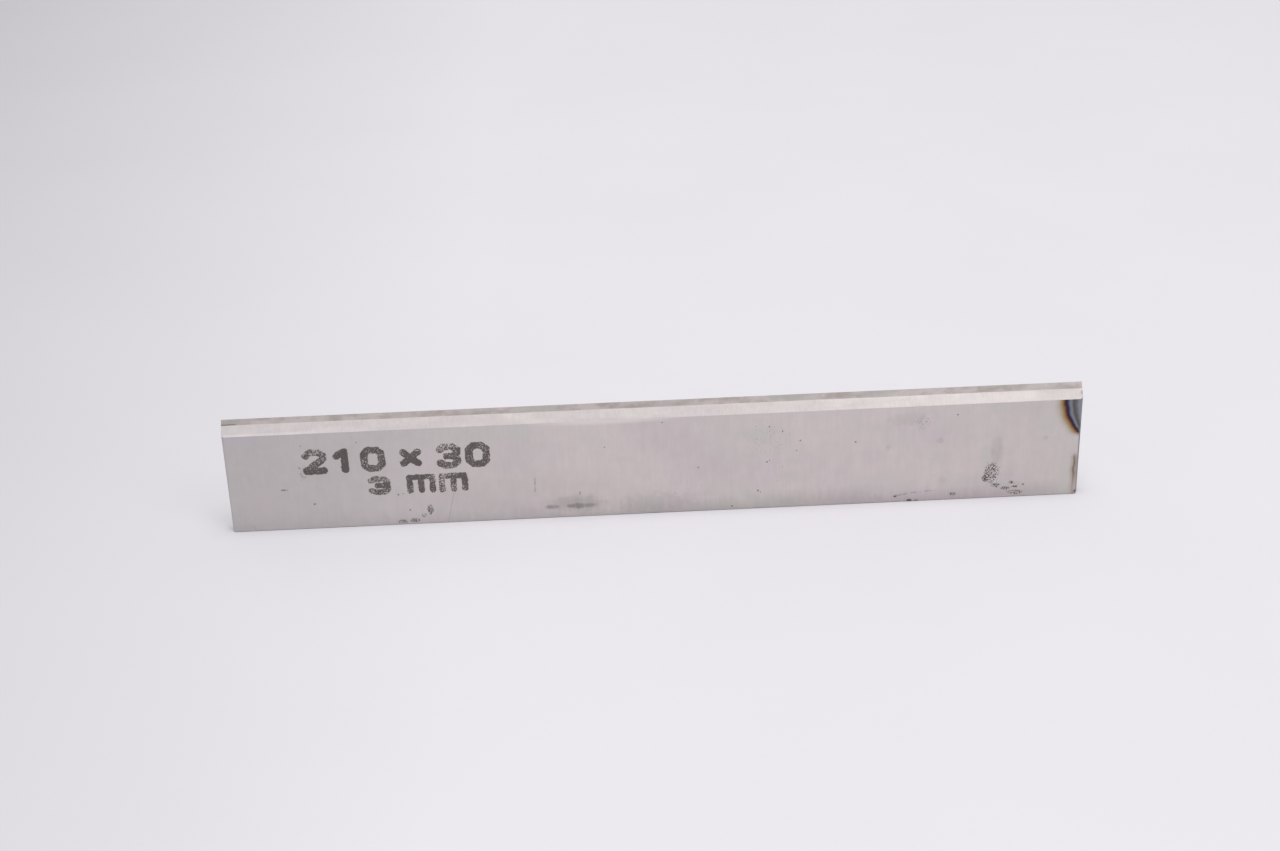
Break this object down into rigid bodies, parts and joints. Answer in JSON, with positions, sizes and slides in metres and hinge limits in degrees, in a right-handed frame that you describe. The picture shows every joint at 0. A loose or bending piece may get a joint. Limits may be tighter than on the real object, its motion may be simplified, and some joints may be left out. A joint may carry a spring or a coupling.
{
  "type": "planer knife",
  "caption": "Straight planer knife: a ground steel bar with a bevelled and honed cutting edge along one long side.",
  "frame": {"origin": "middle of the back edge, at its lowest level, half way through the thickness", "axes": "+X along the knife, +Y out of the flat back, +Z from the back edge up to the cutting edge"},
  "size_m": [0.21, 0.003, 0.03],
  "materials": {
    "ground_steel": "satin"
  },
  "bodies": {
    "root": {"planer_knife": "ground_steel"}
  },
  "joints": []
}
